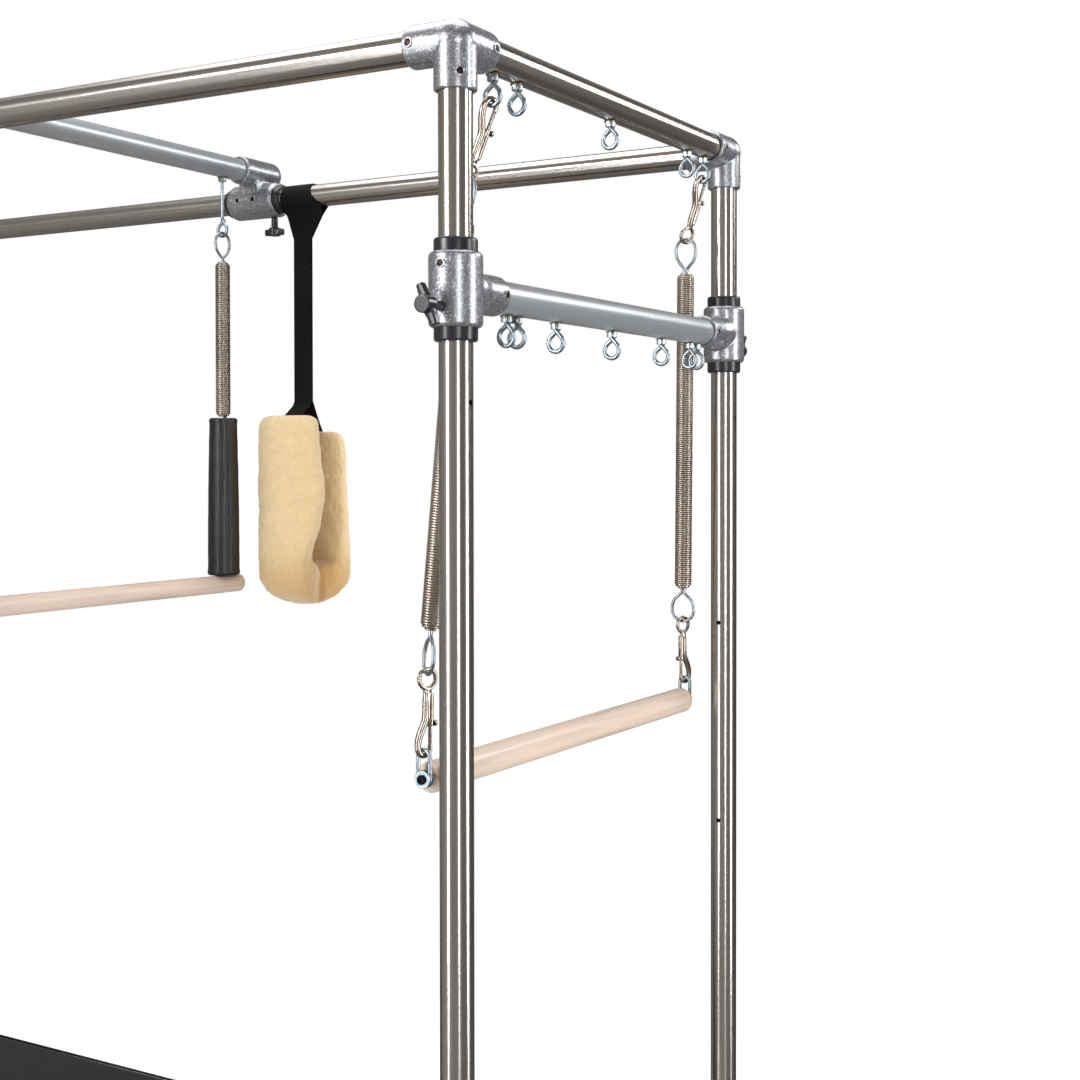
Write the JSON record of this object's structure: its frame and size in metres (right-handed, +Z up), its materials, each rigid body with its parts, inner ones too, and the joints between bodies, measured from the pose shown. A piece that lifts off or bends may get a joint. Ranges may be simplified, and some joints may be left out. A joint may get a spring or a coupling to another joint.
{
  "type": "pilates trapeze table",
  "caption": "Long padded table under a tall tube canopy, with a height-adjustable eyebolt crossbar, a sprung roll-down bar, a sliding trapeze and a fleece sling.",
  "frame": {"origin": "on the floor under the middle of the table, at the centre of the bottom of the bounding box", "axes": "+X along the table towards the end with the crossbar, +Y across it towards the rail with the fleece sling, +Z up"},
  "size_m": [2.26, 0.8526, 2.227],
  "materials": {
    "brushed_stainless": "fine brushed along the tube",
    "polished_casting": "polished casting",
    "satin_aluminium": "satin anodised",
    "black_nylon": "satin moulded",
    "bright_zinc": "bright zinc plate",
    "nickel": "nickel plate",
    "spring_steel": "plated wire",
    "beech": "oiled",
    "black_vinyl": "glossy vinyl over foam",
    "black_webbing": "woven",
    "cream_fleece": "sheepskin pile"
  },
  "bodies": {
    "frame": {"upright_front_right": "brushed_stainless", "upright_front_left": "brushed_stainless", "upright_back_right": "brushed_stainless", "upright_back_left": "brushed_stainless", "top_rail_front": "brushed_stainless", "top_rail_back": "brushed_stainless", "end_rail_right": "brushed_stainless", "end_rail_left": "brushed_stainless", "corner_front_right": "polished_casting", "corner_front_left": "polished_casting", "corner_back_right": "polished_casting", "corner_back_left": "polished_casting", "base_end_right": "beech", "base_end_left": "beech", "bed_frame": "beech", "mat": "black_vinyl", "end_eyebolt_1": "bright_zinc", "end_eyebolt_2": "bright_zinc", "end_eyebolt_3": "bright_zinc", "end_eyebolt_4": "bright_zinc", "end_eyebolt_5": "bright_zinc"},
    "crossbar": {"crossbar_tube": "satin_aluminium", "crossbar_tee_front": "polished_casting", "crossbar_tee_back": "polished_casting", "crossbar_bush_front": "black_nylon", "crossbar_bush_back": "black_nylon", "crossbar_eyebolt_1": "bright_zinc", "crossbar_eyebolt_2": "bright_zinc", "crossbar_eyebolt_3": "bright_zinc", "crossbar_eyebolt_4": "bright_zinc", "crossbar_eyebolt_5": "bright_zinc", "crossbar_eyebolt_6": "bright_zinc", "crossbar_eyebolt_7": "bright_zinc"},
    "crossbar_knob_front": {"crossbar_knob_front": "black_nylon"},
    "crossbar_knob_back": {"crossbar_knob_back": "black_nylon"},
    "slider": {"slider_tube": "satin_aluminium", "slider_tee_front": "polished_casting", "slider_tee_back": "polished_casting"},
    "slider_knob_front": {"slider_knob_front": "black_nylon"},
    "slider_knob_back": {"slider_knob_back": "black_nylon"},
    "trapeze_springs": {"trapeze_spring_front": "spring_steel", "trapeze_spring_back": "spring_steel"},
    "trapeze": {"trapeze_bar": "beech", "trapeze_sleeve_front": "black_vinyl", "trapeze_sleeve_back": "black_vinyl"},
    "roll_down_springs": {"top_snap_front": "nickel", "top_snap_back": "nickel", "roll_spring_front": "spring_steel", "roll_spring_back": "spring_steel"},
    "top_snap_bolt_front": {"top_snap_bolt_front": "nickel"},
    "top_snap_bolt_back": {"top_snap_bolt_back": "nickel"},
    "low_snaps": {"low_snap_front": "nickel", "low_snap_back": "nickel"},
    "low_snap_bolt_front": {"low_snap_bolt_front": "nickel"},
    "low_snap_bolt_back": {"low_snap_bolt_back": "nickel"},
    "shackles": {"shackle_front": "bright_zinc", "shackle_back": "bright_zinc"},
    "roll_bar": {"roll_bar": "beech"},
    "sling": {"strap": "black_webbing", "fleece_loop": "cream_fleece"}
  },
  "joints": [
    {"name": "crossbar_height", "type": "slide", "parent": "frame", "child": "crossbar", "axis": [0, 0, 1], "range_m": [-1.19, 0]},
    {"name": "crossbar_knob_turn_front", "type": "hinge", "parent": "crossbar", "child": "crossbar_knob_front", "pos_m": [1.09, -0.37935, 1.8657], "axis": [0, -1, 0], "range_deg": [0, 360]},
    {"name": "crossbar_knob_turn_back", "type": "hinge", "parent": "crossbar", "child": "crossbar_knob_back", "pos_m": [1.09, 0.37935, 1.8657], "axis": [0, 1, 0], "range_deg": [0, 360]},
    {"name": "slider_travel", "type": "slide", "parent": "frame", "child": "slider", "axis": [1, 0, 0], "range_m": [-1.16, 0]},
    {"name": "slider_knob_turn_front", "type": "hinge", "parent": "slider", "child": "slider_knob_front", "pos_m": [0.236, -0.36, 2.13565], "axis": [0, 0, -1], "range_deg": [0, 360]},
    {"name": "slider_knob_turn_back", "type": "hinge", "parent": "slider", "child": "slider_knob_back", "pos_m": [0.236, 0.36, 2.13565], "axis": [0, 0, -1], "range_deg": [0, 360]},
    {"name": "trapeze_swing", "type": "hinge", "parent": "slider", "child": "trapeze_springs", "pos_m": [0.2, 0, 2.08935], "axis": [0, 1, 0], "range_deg": [-2, 70]},
    {"name": "trapeze_spring_stretch", "type": "slide", "parent": "trapeze_springs", "child": "trapeze", "axis": [0, 0, -1], "range_m": [0, 0.2], "stiffness_N_per_m": 900, "springref_m": -0.03, "deforming": ["trapeze_spring_front", "trapeze_spring_back"]},
    {"name": "roll_down_swing", "type": "hinge", "parent": "frame", "child": "roll_down_springs", "pos_m": [1.09, 0, 2.10775], "axis": [0, 1, 0], "range_deg": [0, 55]},
    {"name": "top_snap_bolt_pull_front", "type": "slide", "parent": "roll_down_springs", "child": "top_snap_bolt_front", "axis": [-0.3419, -0.1222, -0.9318], "range_m": [0, 0.012], "stiffness_N_per_m": 300, "springref_m": -0.005},
    {"name": "top_snap_bolt_pull_back", "type": "slide", "parent": "roll_down_springs", "child": "top_snap_bolt_back", "axis": [-0.3439, 0.0338, -0.9384], "range_m": [0, 0.012], "stiffness_N_per_m": 300, "springref_m": -0.005},
    {"name": "roll_spring_stretch", "type": "slide", "parent": "roll_down_springs", "child": "low_snaps", "axis": [0, 0, -1], "range_m": [0, 0.3], "stiffness_N_per_m": 1200, "springref_m": -0.03, "deforming": ["roll_spring_front", "roll_spring_back"]},
    {"name": "low_snap_bolt_pull_front", "type": "slide", "parent": "low_snaps", "child": "low_snap_bolt_front", "axis": [-0.0175, 0.0379, 0.9991], "range_m": [0, 0.012], "stiffness_N_per_m": 300, "springref_m": -0.005},
    {"name": "low_snap_bolt_pull_back", "type": "slide", "parent": "low_snaps", "child": "low_snap_bolt_back", "axis": [0.016, -0.0355, 0.9992], "range_m": [0, 0.012], "stiffness_N_per_m": 300, "springref_m": -0.005},
    {"name": "shackle_swing", "type": "hinge", "parent": "low_snaps", "child": "shackles", "pos_m": [1.03459, 0, 1.36828], "axis": [0, 1, 0], "range_deg": [-50, 60]},
    {"name": "roll_bar_spin", "type": "hinge", "parent": "shackles", "child": "roll_bar", "pos_m": [1.03459, 0, 1.34328], "axis": [0, 1, 0], "continuous": true},
    {"name": "strap_swing", "type": "hinge", "parent": "frame", "child": "sling", "pos_m": [0.299, 0.36, 2.155], "axis": [1, 0, 0], "range_deg": [-30, 60]}
  ]
}
